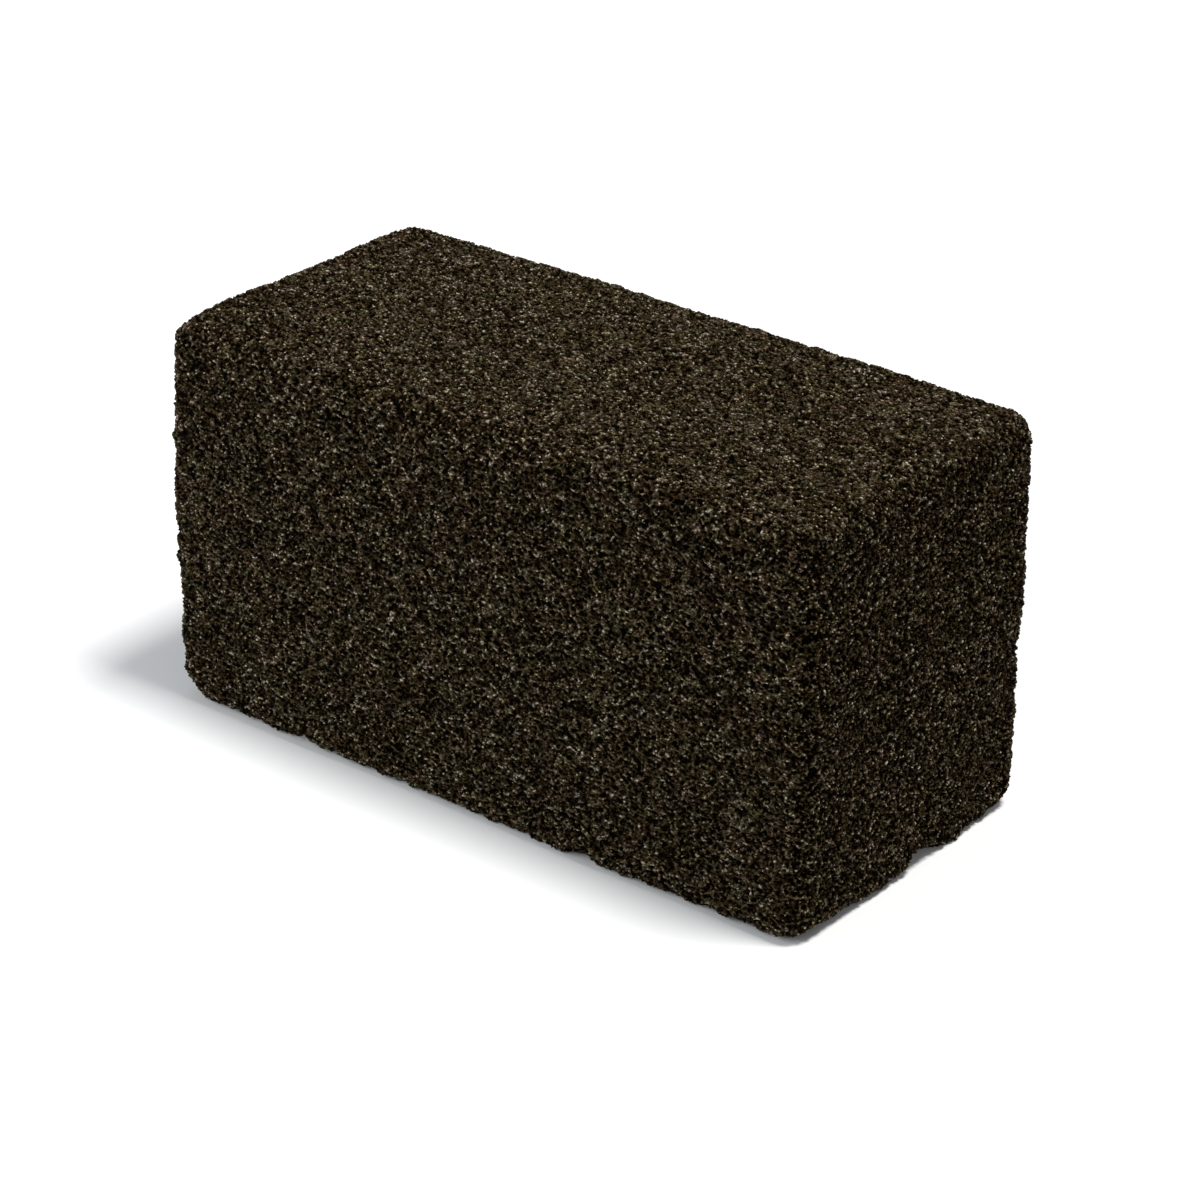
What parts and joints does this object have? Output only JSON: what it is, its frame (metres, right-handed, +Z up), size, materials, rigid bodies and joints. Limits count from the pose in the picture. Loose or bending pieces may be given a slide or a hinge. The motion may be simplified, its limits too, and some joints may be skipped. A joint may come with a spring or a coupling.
{
  "type": "foamed glass griddle brick",
  "caption": "Rectangular block of black foamed glass with worn edges and corners, open gas pores, a few small blow holes and chipped lower edges, for scouring hot griddles.",
  "frame": {"origin": "middle of the long narrow side that the block stands on", "axes": "+X along the block's length, +Y across its width, +Z up along its height"},
  "size_m": [0.195, 0.0914, 0.104],
  "materials": {
    "black_foam_glass": "rough open-pored foamed glass, brown-black, dull with fine glassy glints"
  },
  "bodies": {
    "root": {"foam_glass_block": "black_foam_glass"}
  },
  "joints": []
}
